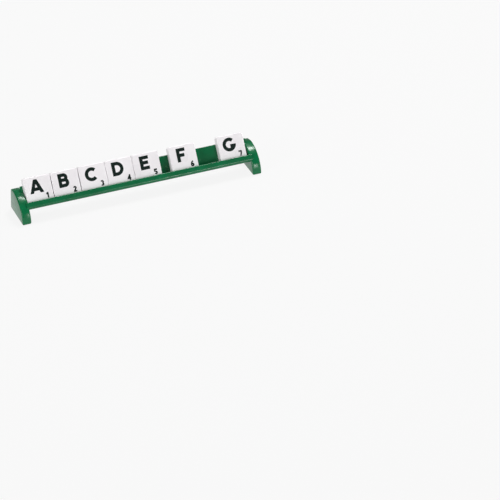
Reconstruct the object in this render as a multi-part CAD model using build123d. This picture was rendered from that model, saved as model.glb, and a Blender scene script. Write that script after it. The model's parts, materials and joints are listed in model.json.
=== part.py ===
from build123d import *
import os
from math import cos, radians, sin, tan

# Travel tile rack with seven letter tiles, in millimetres.
# X runs along the rack, Y from the player's side to the back, Z up from the table.
# The origin is on the table, midway along the rack and midway through its depth.
#
# Two section frames share the front foot edge of the end caps as their origin:
#   side frame   x = back (world Y), y = up (world Z)
#   lean frame   x = back, square to the tiles' faces, y = up along the tiles' faces

# ---- tiles ----
tile_width = 12.2
tile_height = 12.5
tile_depth = 3.6
tile_corner = 1.0            # corner radius seen from the front
tile_front_round = 0.45      # soft edge round the printed face
tile_face_wall = 1.2         # thickness behind the printed face
tile_side_wall = 1.1
tile_inner_corner = 0.6
grip_rib_width = 0.9         # rib inside each side wall that grips a board peg
grip_rib_height = 0.4        # how far a rib stands off its wall
grip_rib_setback = 0.3       # how far the ribs stop short of the open back

# ---- how the tiles stand in the rack ----
lean = 28.0                  # degrees that a tile leans back from upright
side_clearance = 0.15        # tile to rail, and tile to back wall
seat_clearance = 0.05        # tile to floor
left_room = 0.1              # left cap to the first tile
loose_gap = 0.3              # on both sides of the second tile
close_gap = 0.12             # on both sides of the fourth tile
middle_room = 4.8            # fifth tile to the sixth
wide_room = 10.3             # sixth tile to the seventh
right_room = 0.8             # seventh tile to the right cap

# ---- channel that holds the tiles ----
seat_up = 7.5                # floor, measured up the lean from the foot edge
floor_thickness = 1.2
rail_grip = 1.95             # how much of a tile the rail hides
wall_thickness = 1.4
wall_rise = 0.5              # how far the back wall rises above the caps' brow
rail_setback = 0.1           # the rail's face stands this far behind the caps' rims
rail_lower_round = 1.0
edge_round = 0.3
inner_corner = 0.12

# ---- end caps, as seen from the side ----
cap_thickness = 4.0
cap_depth = 19.0
brow_back = 11.4             # where the rounded front meets the flat top
brow_height = 12.6
brow_slope = 18.0            # degrees, the rim just in front of the flat top
heel_back = 15.8             # where the flat top meets the back edge
heel_height = 10.8
rim_forward = 1.7            # rim ahead of the tiles' faces, where the rail meets it
shin_radius = 8.0            # bend of the rim just above the foot
crown_radius = 7.5           # bend of the rim over the rail
brow_round = 1.5
corner_round = 0.8
outer_rim_round = 0.45
inner_rim_round = 0.65

lean_sin = sin(radians(lean))
lean_cos = cos(radians(lean))
rooms = [left_room, loose_gap, loose_gap, close_gap, close_gap, middle_room, wide_room, right_room]
inner_length = sum(rooms) + (len(rooms) - 1) * tile_width


def lean_point(back, up):
    """A point of the lean frame, in the side frame."""
    return Vector(back * lean_cos + up * lean_sin, up * lean_cos - back * lean_sin)


def rounded_face(corners):
    """A face with straight sides, from its corner points and the radius of each."""
    points = [point for point, _ in corners]
    radii = [radius for _, radius in corners]
    return make_face(FilletPolyline(*points, radius=radii, close=True))


def cap_outline():
    """Side view of an end cap: flat foot, rounded front rim, flat sloping top and back edge."""
    # The rim has three straight stretches: upright above the foot, parallel to the
    # tiles along the rail's face, and up the brow. They meet at a knee and a crown.
    knee_up = rim_forward * lean_cos / lean_sin
    brow_tan = tan(radians(brow_slope))
    brow_start = brow_height - brow_tan * brow_back
    rim_height = rim_forward * (lean_sin + brow_tan * lean_cos)
    crown_up = (brow_start - rim_height) / (lean_cos - brow_tan * lean_sin)
    return rounded_face([
        ((0, 0), corner_round),
        (lean_point(-rim_forward, knee_up), shin_radius),
        (lean_point(-rim_forward, crown_up), crown_radius),
        ((brow_back, brow_height), brow_round),
        ((heel_back, heel_height), corner_round),
        ((cap_depth, 0), corner_round),
    ])


rack_depth = cap_outline().bounding_box().max.X


def side_plane(x):
    """Section across the rack at x, in the side frame."""
    return Plane(origin=(x, -rack_depth / 2, 0), x_dir=(0, 1, 0), z_dir=(1, 0, 0))


def make_left_cap():
    """The outline given its thickness, with soft rims outside and towards the tiles."""
    cap = extrude(side_plane(-inner_length / 2) * cap_outline(), amount=-cap_thickness)
    cap = fillet(cap.faces().sort_by(Axis.X)[0].edges(), outer_rim_round)
    return fillet(cap.faces().sort_by(Axis.X)[-1].edges(), inner_rim_round)


def channel_section():
    """Floor, front rail and back wall in one section."""
    rail_face = -(rim_forward - rail_setback)
    rail_top = seat_up + rail_grip
    underside = seat_up - floor_thickness
    slot_front = -side_clearance
    slot_back = tile_depth + side_clearance
    wall_back = slot_back + wall_thickness
    wall_top = brow_back * lean_sin + brow_height * lean_cos + wall_rise
    corners = [
        (rail_face, underside, rail_lower_round),
        (rail_face, rail_top, edge_round),
        (slot_front, rail_top, edge_round),
        (slot_front, seat_up, inner_corner),
        (slot_back, seat_up, inner_corner),
        (slot_back, wall_top, edge_round),
        (wall_back, wall_top, edge_round),
        (wall_back, underside, edge_round),
    ]
    return rounded_face([(lean_point(back, up), radius) for back, up, radius in corners])


def make_rack():
    """Both end caps and the channel between them, one moulding."""
    half_run = (inner_length + cap_thickness) / 2
    channel = extrude(side_plane(0) * channel_section(), amount=half_run, both=True)
    left_cap = make_left_cap()
    return channel + left_cap + mirror(left_cap, about=Plane.YZ)


def tile_starts():
    """Left edge of each tile at rest, from the left cap to the right."""
    starts = []
    x = -inner_length / 2
    for room in rooms[:-1]:
        x += room
        starts.append(x)
        x += tile_width
    return starts


def make_tile():
    """A moulded tile, open at the back, face towards -Z and centred on its own face."""
    body = extrude(RectangleRounded(tile_width, tile_height, tile_corner), tile_depth)
    body = fillet(body.faces().sort_by(Axis.Z)[0].edges(), tile_front_round)
    hollow_width = tile_width - 2 * tile_side_wall
    hollow_height = tile_height - 2 * tile_side_wall
    hollow_depth = tile_depth - tile_face_wall
    ribs = Rectangle(hollow_width, grip_rib_width) + Rectangle(grip_rib_width, hollow_height)
    ribs -= Rectangle(hollow_width - 2 * grip_rib_height, hollow_height - 2 * grip_rib_height)
    hollow = extrude(RectangleRounded(hollow_width, hollow_height, tile_inner_corner), hollow_depth)
    hollow -= extrude(ribs, hollow_depth - grip_rib_setback)
    return body - Pos(0, 0, tile_face_wall) * hollow


def place_tile(tile, x_left):
    """Stands a tile in the channel, its face parallel to the rail and its foot on the floor."""
    middle = (x_left + tile_width / 2, seat_up + seat_clearance + tile_height / 2)
    spot = lean_point(0, middle[1])
    face_plane = Plane(
        origin=(middle[0], spot.X - rack_depth / 2, spot.Y),
        x_dir=(-1, 0, 0),
        z_dir=(0, lean_cos, -lean_sin),
    )
    return face_plane * tile


os.makedirs("parts", exist_ok=True)
export_step(make_rack(), "parts/rack.step")
tile = make_tile()
for number, x_left in enumerate(tile_starts(), start=1):
    export_step(place_tile(tile, x_left), f"parts/tile_{number}.step")
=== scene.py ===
import json
import math

import bmesh
import bpy
from mathutils import Matrix, Vector


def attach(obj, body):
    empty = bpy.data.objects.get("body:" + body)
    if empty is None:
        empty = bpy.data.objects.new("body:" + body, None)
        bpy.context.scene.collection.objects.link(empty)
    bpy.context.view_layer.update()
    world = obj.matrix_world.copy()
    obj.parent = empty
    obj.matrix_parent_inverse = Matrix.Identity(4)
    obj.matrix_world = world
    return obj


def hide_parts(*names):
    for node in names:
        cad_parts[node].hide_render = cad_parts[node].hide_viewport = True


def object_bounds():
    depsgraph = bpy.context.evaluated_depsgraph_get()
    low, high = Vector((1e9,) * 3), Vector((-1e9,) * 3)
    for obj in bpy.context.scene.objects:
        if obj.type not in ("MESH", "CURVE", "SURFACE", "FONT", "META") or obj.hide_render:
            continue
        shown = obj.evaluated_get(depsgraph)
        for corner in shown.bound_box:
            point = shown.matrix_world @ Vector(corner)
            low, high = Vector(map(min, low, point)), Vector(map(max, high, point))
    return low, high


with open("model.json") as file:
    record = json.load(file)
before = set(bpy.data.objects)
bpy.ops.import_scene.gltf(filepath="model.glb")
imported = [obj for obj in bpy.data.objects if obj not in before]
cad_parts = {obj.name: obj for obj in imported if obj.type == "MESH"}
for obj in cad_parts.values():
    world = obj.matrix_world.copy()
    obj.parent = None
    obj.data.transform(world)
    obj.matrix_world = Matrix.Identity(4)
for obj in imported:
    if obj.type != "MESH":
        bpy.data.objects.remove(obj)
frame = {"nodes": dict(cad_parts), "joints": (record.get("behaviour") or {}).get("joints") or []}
cad_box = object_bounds()

MM = 0.001
TILES = [f"tile_{number}" for number in range(1, 8)]
LETTERS = "ABCDEFG"              # plain alphabet, one letter for each tile
NUMBERS = "1234567"              # plain count, in the lower right corner

# ---- camera, as the photograph was taken ----
PICTURE_SIZE = 500               # pixels, square
FOCAL_PIXELS = 3409
CAMERA_AZIMUTH = math.radians(-18.2)
CAMERA_ELEVATION = math.radians(29.3)
CAMERA_ROLL = math.radians(3.56)
CAMERA_DISTANCE = 1500 * MM
RACK_PIXEL = (136.9, 190.5)      # where the middle of the rack's footprint shows
SENSOR = 36.0
CLIP = (0.01, 20.0)              # nearest and farthest that the camera sees, in metres

# ---- printing on the tiles ----
LETTER_HEIGHT = 6.1 * MM
LETTER_STROKE = 1.5 * MM
LETTER_CENTRE = (-0.9 * MM, 1.9 * MM)   # from the middle of the tile's face
NUMBER_HEIGHT = 2.5 * MM
NUMBER_STROKE = 0.66 * MM
NUMBER_CENTRE = (3.4 * MM, -2.8 * MM)
INK_THICKNESS = 0.03 * MM
ARC_STEP = 9.0                   # degrees from point to point round a letter's curves
CUT_HAIR = 1e-4                  # a cut clears the letter's box by this, so edges never lie on it
CLOSED_GAP = 1e-6                # a centre line whose ends are nearer than this is a ring

# ---- the rack's moulding, in the side frame: back from the front foot edge, and up ----
CAP_THICKNESS = 4.0 * MM
CAP_DEPTH = 19.0 * MM
BROW = (11.5 * MM, 11.45 * MM)   # where the rounded front meets the flat top
BROW_SLOPE = math.radians(12)
HEEL = (16.2 * MM, 10.4 * MM)    # where the flat top meets the back edge
RIM_FORWARD = 1.7 * MM           # rim ahead of the tiles' faces
CORNER_ROUND = 0.8 * MM
SHIN_ROUND = 8.0 * MM
CROWN_ROUND = 10.4 * MM
BROW_ROUND = 8.0 * MM
OUTER_RIM_ROUND = 0.5 * MM
INNER_RIM_ROUND = 0.65 * MM
SEAT_UP = 7.5 * MM               # floor of the channel, measured up the lean
FLOOR_THICKNESS = 1.2 * MM
RAIL_TOP = SEAT_UP + 1.95 * MM
RAIL_SETBACK = 0.1 * MM          # the rail's face stands this far behind the rims
RAIL_LOWER_ROUND = 1.2 * MM
SLOT = (-0.15 * MM, 3.75 * MM)   # front and back of the slot that holds the tiles
WALL_THICKNESS = 1.4 * MM
CHANNEL_ROOT = 0.9 * MM          # the channel runs this far into the end plates
EDGE_ROUND = 0.3 * MM
SLOT_ROUND = 0.12 * MM
ROUND_STEP = math.radians(3)     # turn from facet to facet round the moulding's curves
RIM_FACETS = 6
SHARP_ANGLE = math.radians(30)
WELD = 0.0002 * MM               # corners nearer than this are one
GLYPH_WELD = 5e-6                # the same for a letter that is 1 high
ON_PLANE = 1e-7                  # a corner this near to a plane lies on it

# ---- stage ----
FLOOR_SIZE = 4.0                 # metres from the middle to each side
PAPER_LIFT = 0.88                # share of plain white that the camera sees on the paper
WORLD_STRENGTH = 0.17
SOFTBOXES = [                    # name, direction, distance, width and height, watts
    ("key", (0.27, 0.26, 0.93), 0.8, (0.25, 0.25), 4.8),
    ("left", (-0.9, -0.5, 0.3), 0.9, (0.5, 0.5), 4.4),
    ("right", (0.95, -0.5, 0.2), 0.9, (0.4, 0.4), 2.8),
    ("edge", (0.3, -0.95, 0.14), 0.8, (0.05, 0.24), 0.9),
]


def srgb(text):
    """An sRGB hex colour as linear numbers."""
    channels = [int(text[i:i + 2], 16) / 255 for i in (1, 3, 5)]
    return [c / 12.92 if c <= 0.04045 else ((c + 0.055) / 1.055) ** 2.4 for c in channels] + [1.0]


# ---------------------------------------------------------------- materials

def new_material(name):
    """An empty material and its node tree."""
    material = bpy.data.materials.new(name)
    material.use_nodes = True
    material.node_tree.nodes.clear()
    return material, material.node_tree


def add(tree, kind, links=None, **settings):
    """Adds a node, sets its properties and inputs, and links other nodes' outputs to it."""
    item = tree.nodes.new(kind)
    for key, value in settings.items():
        if hasattr(item, key):
            setattr(item, key, value)
        else:
            item.inputs[key.replace("_", " ")].default_value = value
    for socket, (source, output) in (links or {}).items():
        tree.links.new(source.outputs[output], item.inputs[socket])
    return item


def mottled_colour(tree, source, low, high, dark, light):
    """A colour that drifts from dark to light between two values of a noise."""
    item = add(tree, "ShaderNodeValToRGB", {"Fac": source})
    item.color_ramp.elements[0].position = low
    item.color_ramp.elements[1].position = high
    item.color_ramp.elements[0].color = dark
    item.color_ramp.elements[1].color = light
    return item


def green_polystyrene():
    """Injection-moulded polystyrene: deep, even green under a hard, clear gloss.

    The steel mould leaves a faint long ripple that bends reflections, and handling leaves
    hair scratches that soften them in patches."""
    material, tree = new_material("green_polystyrene_moulded")
    ripple_length = 6 * MM
    haze_size = 2.5 * MM
    hair_width = 0.25 * MM           # real hairs are finer, and would not show
    place = add(tree, "ShaderNodeTexCoord")
    ripple = add(tree, "ShaderNodeTexNoise", {"Vector": (place, "Object")},
                 Scale=1 / ripple_length, Detail=1.0)
    haze = add(tree, "ShaderNodeTexNoise", {"Vector": (place, "Object")},
               Scale=1 / haze_size, Detail=4.0)
    colour = mottled_colour(tree, (ripple, "Fac"), 0.3, 0.7, srgb("#005F36"), srgb("#006C40"))
    gloss = add(tree, "ShaderNodeMapRange", {"Value": (haze, "Fac")},
                From_Min=0.35, From_Max=0.7, To_Min=0.18, To_Max=0.28)
    stretch = add(tree, "ShaderNodeMapping", {"Vector": (place, "Object")}, Scale=(0.15, 1.0, 1.0))
    hairs = add(tree, "ShaderNodeTexNoise", {"Vector": (stretch, "Vector")},
                Scale=1 / hair_width, Detail=2.0)
    waves = add(tree, "ShaderNodeBump", {"Height": (ripple, "Fac")}, Strength=0.25, Distance=0.05 * MM)
    scratched = add(tree, "ShaderNodeBump", {"Height": (hairs, "Fac"), "Normal": (waves, "Normal")},
                    Strength=0.08, Distance=0.01 * MM)
    looks = {"Base Color": (colour, "Color"), "Roughness": (gloss, "Result"), "Normal": (scratched, "Normal")}
    shader = add(tree, "ShaderNodeBsdfPrincipled", looks, IOR=1.49, Specular_IOR_Level=0.38)
    add(tree, "ShaderNodeOutputMaterial", {"Surface": (shader, "BSDF")})
    return material


def white_abs():
    """Injection-moulded ABS: a cool, nearly pure white with a satin gloss.

    The tile mould is lightly eroded, so the surface has a very fine even grain."""
    material, tree = new_material("white_abs_moulded")
    cloud_size = 9 * MM
    grain_size = 0.2 * MM            # the real grain is finer, and would not show
    place = add(tree, "ShaderNodeTexCoord")
    cloud = add(tree, "ShaderNodeTexNoise", {"Vector": (place, "Object")},
                Scale=1 / cloud_size, Detail=3.0)
    grain = add(tree, "ShaderNodeTexNoise", {"Vector": (place, "Object")},
                Scale=1 / grain_size, Detail=2.0)
    colour = mottled_colour(tree, (cloud, "Fac"), 0.35, 0.65, srgb("#EFEBEE"), srgb("#F5F2F4"))
    gloss = add(tree, "ShaderNodeMapRange", {"Value": (cloud, "Fac")},
                From_Min=0.3, From_Max=0.7, To_Min=0.26, To_Max=0.36)
    bump = add(tree, "ShaderNodeBump", {"Height": (grain, "Fac")}, Strength=0.12, Distance=0.01 * MM)
    looks = {"Base Color": (colour, "Color"), "Roughness": (gloss, "Result"), "Normal": (bump, "Normal")}
    shader = add(tree, "ShaderNodeBsdfPrincipled", looks, IOR=1.54)
    add(tree, "ShaderNodeOutputMaterial", {"Surface": (shader, "BSDF")})
    return material


def printed_ink():
    """Pad-printed ink: very dark green, nearly black, drier than the plastic under it.

    The silicone pad lays the ink a little unevenly."""
    material, tree = new_material("dark_green_pad_print")
    patch_size = 0.6 * MM
    place = add(tree, "ShaderNodeTexCoord")
    coat = add(tree, "ShaderNodeTexNoise", {"Vector": (place, "Object")},
               Scale=1 / patch_size, Detail=3.0)
    colour = mottled_colour(tree, (coat, "Fac"), 0.3, 0.7, srgb("#00120D"), srgb("#021E17"))
    gloss = add(tree, "ShaderNodeMapRange", {"Value": (coat, "Fac")},
                From_Min=0.3, From_Max=0.7, To_Min=0.36, To_Max=0.5)
    looks = {"Base Color": (colour, "Color"), "Roughness": (gloss, "Result")}
    shader = add(tree, "ShaderNodeBsdfPrincipled", looks, IOR=1.5, Specular_IOR_Level=0.2)
    add(tree, "ShaderNodeOutputMaterial", {"Surface": (shader, "BSDF")})
    return material


def white_paper():
    """Matt studio paper: even white, lifted for the camera and in reflections.

    So it stays pale round the shadow without more light on the rack."""
    material, tree = new_material("white_studio_paper")
    fibre_size = 0.8 * MM
    place = add(tree, "ShaderNodeTexCoord")
    fibre = add(tree, "ShaderNodeTexNoise", {"Vector": (place, "Object")},
                Scale=1 / fibre_size, Detail=3.0)
    colour = mottled_colour(tree, (fibre, "Fac"), 0.3, 0.7, srgb("#BCBCBC"), srgb("#C2C2C2"))
    matt = add(tree, "ShaderNodeBsdfPrincipled", {"Base Color": (colour, "Color")}, Roughness=0.9)
    glow = add(tree, "ShaderNodeEmission", Color=(1, 1, 1, 1), Strength=1.0)
    path = add(tree, "ShaderNodeLightPath")
    seen = add(tree, "ShaderNodeMath", {0: (path, "Is Camera Ray"), 1: (path, "Is Glossy Ray")},
               operation="ADD")
    share = add(tree, "ShaderNodeMath", {0: (seen, "Value")}, operation="MULTIPLY")
    share.inputs[1].default_value = PAPER_LIFT
    mix = add(tree, "ShaderNodeMixShader",
              {"Fac": (share, "Value"), 1: (matt, "BSDF"), 2: (glow, "Emission")})
    add(tree, "ShaderNodeOutputMaterial", {"Surface": (mix, "Shader")})
    return material


# ---------------------------------------------------------------- pieces

def tile_face(node):
    """Right, up and outward directions of a tile's face, and its middle."""
    up = lean_direction()
    right = Vector((1, 0, 0))
    out = right.cross(up)
    spots = [v.co for v in frame["nodes"][node].data.vertices]
    spans = []
    for direction in (right, up, out):
        reach = [spot.dot(direction) for spot in spots]
        spans.append((min(reach), max(reach)))
    middle = right * sum(spans[0]) / 2 + up * sum(spans[1]) / 2 + out * spans[2][1]
    return right, up, out, middle


def arc(x, y, width, height, start, end):
    """Points of an arc round (x, y), from one angle in degrees to another."""
    count = round(abs(end - start) / ARC_STEP)
    angles = [math.radians(start + (end - start) * i / count) for i in range(count + 1)]
    return [(x + width * math.cos(a), y + height * math.sin(a)) for a in angles]


def letter_lines(text, h):
    """Width and centre lines of a letter or number that is 1 high, drawn with a stroke 2h wide.

    A line that runs past the foot, the top or a side is cut off flush there."""
    low, high, ring = h, 1 - h, 0.5 - h
    past, over = -0.5, 1.5
    bowl = 0.31 - h
    waist = 0.52
    upper, lower = (high - waist) / 2, (waist - low) / 2
    lines = {
        "A": (1.0, [[(-0.07, past), (0.69, over)], [(0.31, over), (1.07, past)], [(0.2, 0.29), (0.8, 0.29)]]),
        "B": (0.77, [
            [(h, past), (h, over)],
            [(h, high), *arc(0.42, (high + waist) / 2, upper, upper, 90, -90), (h, waist)],
            [(h, waist), *arc(0.45, (waist + low) / 2, lower, lower, 90, -90), (h, low)],
        ]),
        "C": (0.88, [arc(0.5, 0.5, ring, ring, 45, 315)]),
        "D": (0.86, [[(h, low), (h, high), *arc(0.36, 0.5, ring, ring, 90, -90), (h, low)]]),
        "E": (0.68, [[(0.68, high), (h, high), (h, low), (0.68, low)], [(h, 0.51), (0.62, 0.51)]]),
        "F": (0.66, [[(0.66, high), (h, high), (h, past)], [(h, 0.48), (0.58, 0.48)]]),
        "G": (1.0, [arc(0.5, 0.5, ring, ring, 45, 360), [(0.56, 0.5 - h), (high, 0.5 - h)]]),
        "1": (0.42, [[(0.42 - h, past), (0.42 - h, over)], [(0.0, 0.68), (0.42 - h, high)]]),
        "2": (0.62, [[*arc(0.31, high - bowl, bowl, bowl, 171, -36), (0.13, low), (0.62, low)]]),
        "3": (0.62, [
            arc(0.3, (high + 0.5) / 2, bowl, (high - 0.5) / 2, 153, -90),
            arc(0.3, (low + 0.5) / 2, bowl, (0.5 - low) / 2, 90, -153),
        ]),
        "4": (0.68, [[(0.48, past), (0.48, over)], [(0.48, high), (0.12, 0.31), (0.68, 0.31)]]),
        "5": (0.62, [
            [(0.58, high), (0.14, high), (0.12, 0.46)],
            arc(0.31, low + bowl, bowl, bowl, 135, -153),
        ]),
        "6": (0.62, [
            arc(0.31, low + bowl, bowl, bowl, 0, 360),
            arc(0.46, 0.33, 0.46 - h, high - 0.33, 180, 81),
        ]),
        "7": (0.6, [[(past, high), (0.52, high), (0.16, past)]]),
    }
    return lines[text]


def cut_flush(shape, width):
    """Cuts a stroke off at the sides, foot and top of its letter's box, and closes the cuts."""
    sides = [
        ((0, -CUT_HAIR, 0), (0, -1, 0)),
        ((0, 1 + CUT_HAIR, 0), (0, 1, 0)),
        ((-CUT_HAIR, 0, 0), (-1, 0, 0)),
        ((width + CUT_HAIR, 0, 0), (1, 0, 0)),
    ]
    for spot, outward in sides:
        everything = shape.verts[:] + shape.edges[:] + shape.faces[:]
        cut = bmesh.ops.bisect_plane(shape, geom=everything, plane_co=spot, plane_no=outward,
                                     clear_outer=True)
        edges = [item for item in cut["geom_cut"] if isinstance(item, bmesh.types.BMEdge)]
        if edges:
            bmesh.ops.edgeloop_fill(shape, edges=edges)


def stroke_object(points, h, width):
    """One stroke: its centre line raised to a thin upright wall, then widened to both sides."""
    closed = math.dist(points[0], points[-1]) < CLOSED_GAP
    shape = bmesh.new()
    spots = [shape.verts.new((x, y, 0)) for x, y in (points[:-1] if closed else points)]
    for spot, following in zip(spots, spots[1:]):
        shape.edges.new((spot, following))
    if closed:
        shape.edges.new((spots[-1], spots[0]))
    raised = bmesh.ops.extrude_edge_only(shape, edges=shape.edges[:])["geom"]
    tops = [item for item in raised if isinstance(item, bmesh.types.BMVert)]
    bmesh.ops.translate(shape, verts=tops, vec=(0, 0, h))
    piece = linked_piece("stroke", shape)
    widen = piece.modifiers.new("widen", "SOLIDIFY")
    widen.thickness = 2 * h
    widen.offset = 0
    widen.use_even_offset = True
    solid = settled_mesh(piece)
    piece.modifiers.clear()
    piece.data = solid
    shape = bmesh.new()
    shape.from_mesh(solid)
    cut_flush(shape, width)
    bmesh.ops.recalc_face_normals(shape, faces=shape.faces)
    shape.to_mesh(solid)
    shape.free()
    return piece


def linked_object(name, data):
    """An object with this mesh, lamp or camera, linked to the scene."""
    piece = bpy.data.objects.new(name, data)
    bpy.context.scene.collection.objects.link(piece)
    return piece


def linked_piece(name, shape):
    """A bmesh written to a mesh and linked to the scene. The bmesh is freed."""
    mesh = bpy.data.meshes.new(name)
    shape.to_mesh(mesh)
    shape.free()
    return linked_object(name, mesh)


def settled_mesh(piece):
    """The mesh of an object with its modifiers applied."""
    bpy.context.view_layer.update()
    settled = piece.evaluated_get(bpy.context.evaluated_depsgraph_get())
    return bpy.data.meshes.new_from_object(settled)


def joined_mesh(pieces, weld):
    """One closed mesh from pieces that overlap, with the doubled corners of the joint merged."""
    for other in pieces[1:]:
        join = pieces[0].modifiers.new("join", "BOOLEAN")
        join.operation = "UNION"
        join.solver = "EXACT"
        join.object = other
    mesh = settled_mesh(pieces[0])
    for piece in pieces:
        bpy.data.objects.remove(piece)
    shape = bmesh.new()
    shape.from_mesh(mesh)
    bmesh.ops.remove_doubles(shape, verts=shape.verts, dist=weld)
    shape.to_mesh(mesh)
    shape.free()
    return mesh


def give_material(mesh, material):
    """Makes this the mesh's only material."""
    mesh.materials.clear()
    mesh.materials.append(material)


def print_mark(name, text, height, stroke, centre, face, ink):
    """A printed letter or number: its strokes joined to one flat shape with the ink's thickness."""
    h = stroke / height / 2
    width, lines = letter_lines(text, h)
    strokes = [stroke_object(points, h, width) for points in lines]
    mesh = joined_mesh(strokes, GLYPH_WELD)
    right, up, out, middle = face
    place = Matrix((right, up, out)).transposed().to_4x4()
    place.translation = middle + right * centre[0] + up * centre[1]
    size = Matrix.Diagonal((height, height, INK_THICKNESS / h, 1))
    mesh.transform(place @ size @ Matrix.Translation((-width / 2, -0.5, -h / 2)))
    give_material(mesh, ink)
    return linked_object(name, mesh)


def print_tile(node, letter, number, ink):
    """Prints a tile's letter and number. Both ride on the tile."""
    face = tile_face(node)
    big = print_mark(node + "_letter", letter, LETTER_HEIGHT, LETTER_STROKE, LETTER_CENTRE, face, ink)
    small = print_mark(node + "_number", number, NUMBER_HEIGHT, NUMBER_STROKE, NUMBER_CENTRE, face, ink)
    for piece in (big, small):
        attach(piece, node)


def lean_direction():
    """The way a tile lifts: up the lean."""
    return Vector(next(j for j in frame["joints"] if j["name"] == "tile_1_lift")["axis"]).normalized()


def lean_point(back, up):
    """A point of the leaning frame, in the side frame."""
    lift = lean_direction()
    return (back * lift.z + up * lift.y, up * lift.z - back * lift.y)


def section_mesh(corners, x_from, x_to):
    """A section with rounded corners, run along the rack. Corners are (back, up, radius)."""
    front = cad_box[0][1]
    shape = bmesh.new()
    spots = [shape.verts.new((x_from, front + back, up)) for back, up, _ in corners]
    shape.faces.new(spots)
    for spot, (_, _, radius) in zip(spots, corners):
        ends = [edge.other_vert(spot).co - spot.co for edge in spot.link_edges]
        turn = math.pi - ends[0].angle(ends[1])
        bmesh.ops.bevel(shape, geom=[spot], affect="VERTICES", offset_type="OFFSET",
                        offset=radius * math.tan(turn / 2), segments=max(2, round(turn / ROUND_STEP)),
                        profile=0.5, material=-1)
    grown = bmesh.ops.extrude_face_region(shape, geom=shape.faces[:])["geom"]
    moved = [item for item in grown if isinstance(item, bmesh.types.BMVert)]
    bmesh.ops.translate(shape, verts=moved, vec=(x_to - x_from, 0, 0))
    bmesh.ops.recalc_face_normals(shape, faces=shape.faces)
    return shape


def soften_rim(shape, x, radius):
    """Rounds the edges that lie on the plane at x."""
    rim = [edge for edge in shape.edges if all(abs(vert.co.x - x) < ON_PLANE for vert in edge.verts)]
    bmesh.ops.bevel(shape, geom=rim, affect="EDGES", offset_type="OFFSET", offset=radius,
                    segments=RIM_FACETS, profile=0.5, material=-1, clamp_overlap=False)


def cap_corners():
    """Side view of an end plate: flat foot, round front, flat top that falls to the back."""
    lift = lean_direction()
    knee = lean_point(-RIM_FORWARD, RIM_FORWARD * lift.z / lift.y)
    slope = math.tan(BROW_SLOPE)
    brow_start = BROW[1] - slope * BROW[0]
    rim_height = RIM_FORWARD * (lift.y + slope * lift.z)
    crown = lean_point(-RIM_FORWARD, (brow_start - rim_height) / (lift.z - slope * lift.y))
    return [(0, 0, CORNER_ROUND), (*knee, SHIN_ROUND), (*crown, CROWN_ROUND), (*BROW, BROW_ROUND),
            (*HEEL, CORNER_ROUND), (CAP_DEPTH, 0, CORNER_ROUND)]


def channel_corners(wall_top):
    """Floor, front rail and back wall in one section."""
    rail_face = RAIL_SETBACK - RIM_FORWARD
    underside = SEAT_UP - FLOOR_THICKNESS
    wall_back = SLOT[1] + WALL_THICKNESS
    corners = [
        (rail_face, underside, RAIL_LOWER_ROUND), (rail_face, RAIL_TOP, EDGE_ROUND),
        (SLOT[0], RAIL_TOP, EDGE_ROUND), (SLOT[0], SEAT_UP, SLOT_ROUND),
        (SLOT[1], SEAT_UP, SLOT_ROUND), (SLOT[1], wall_top, EDGE_ROUND),
        (wall_back, wall_top, EDGE_ROUND), (wall_back, underside, EDGE_ROUND),
    ]
    return [(*lean_point(back, up), radius) for back, up, radius in corners]


def rack_moulding(material):
    """The whole rack as one moulding, with the round crowns that the end plates have."""
    half = cad_box[1][0]
    inner = half - CAP_THICKNESS
    lift = lean_direction()
    wall_top = max(Vector(v.co[1:]).dot(lift.yz) for v in frame["nodes"]["rack"].data.vertices)
    wall_top -= cad_box[0][1] * lift.y
    root = inner + CHANNEL_ROOT
    parts = [linked_piece("channel", section_mesh(channel_corners(wall_top), -root, root))]
    for side in (-1, 1):
        shape = section_mesh(cap_corners(), side * inner, side * half)
        soften_rim(shape, side * half, OUTER_RIM_ROUND)
        soften_rim(shape, side * inner, INNER_RIM_ROUND)
        bmesh.ops.recalc_face_normals(shape, faces=shape.faces)
        parts.append(linked_piece("end_plate", shape))
    mesh = joined_mesh(parts, WELD)
    give_material(mesh, material)
    mesh.shade_smooth()
    mesh.set_sharp_from_angle(angle=SHARP_ANGLE)
    rack = linked_object("rack_moulding", mesh)
    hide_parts("rack")
    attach(rack, "rack")


def finish_node(node, material):
    """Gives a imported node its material."""
    give_material(frame["nodes"][node].data, material)


# ---------------------------------------------------------------- stage, light and camera

def floor():
    """A plain paper sheet that the rack stands on."""
    shape = bmesh.new()
    bmesh.ops.create_grid(shape, x_segments=1, y_segments=1, size=FLOOR_SIZE)
    piece = linked_piece("floor", shape)
    give_material(piece.data, white_paper())


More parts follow.
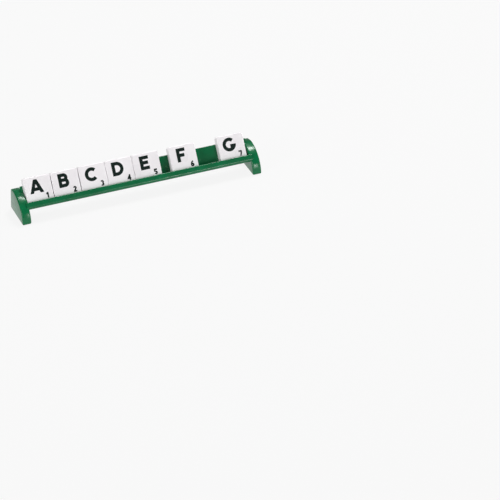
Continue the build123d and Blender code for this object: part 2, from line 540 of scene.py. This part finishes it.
def softbox(name, direction, distance, size, power):
    """A soft rectangular lamp that faces the rack."""
    light = bpy.data.lights.new(name, "AREA")
    light.shape = "RECTANGLE"
    light.size, light.size_y = size
    light.energy = power
    lamp = linked_object(name, light)
    lamp.location = Vector(direction).normalized() * distance
    lamp.rotation_mode = "QUATERNION"
    lamp.rotation_quaternion = (-lamp.location).to_track_quat("-Z", "Y")


def studio_world():
    """Even white light from all round."""
    world = bpy.data.worlds.new("studio")
    bpy.context.scene.world = world
    world.use_nodes = True
    background = world.node_tree.nodes["Background"]
    background.inputs["Color"].default_value = (1, 1, 1, 1)
    background.inputs["Strength"].default_value = WORLD_STRENGTH


def photo_camera():
    """The photograph's camera, placed so that the rack shows where it does there."""
    data = bpy.data.cameras.new("photo_camera")
    data.sensor_width = SENSOR
    data.lens = FOCAL_PIXELS / PICTURE_SIZE * SENSOR
    data.clip_start, data.clip_end = CLIP
    camera = linked_object("photo_camera", data)
    bpy.context.scene.camera = camera
    around, above = CAMERA_AZIMUTH, CAMERA_ELEVATION
    flat_reach = math.cos(above)
    back = Vector((math.sin(around) * flat_reach, -math.cos(around) * flat_reach, math.sin(above)))
    level = Vector((math.cos(around), math.sin(around), 0))
    turn = Matrix.Rotation(-CAMERA_ROLL, 3, back)
    right = turn @ level
    up = back.cross(right)
    across = (RACK_PIXEL[0] - PICTURE_SIZE / 2) / FOCAL_PIXELS * CAMERA_DISTANCE
    down = (RACK_PIXEL[1] - PICTURE_SIZE / 2) / FOCAL_PIXELS * CAMERA_DISTANCE
    camera.rotation_mode = "QUATERNION"
    camera.rotation_quaternion = Matrix((right, up, back)).transposed().to_quaternion()
    camera.location = back * CAMERA_DISTANCE - right * across + up * down


bpy.context.scene.view_settings.view_transform = "Standard"
photo_camera()
floor()
studio_world()
for box in SOFTBOXES:
    softbox(*box)

ink = printed_ink()
rack_moulding(green_polystyrene())
abs_white = white_abs()
for node, letter, number in zip(TILES, LETTERS, NUMBERS):
    finish_node(node, abs_white)
    print_tile(node, letter, number, ink)
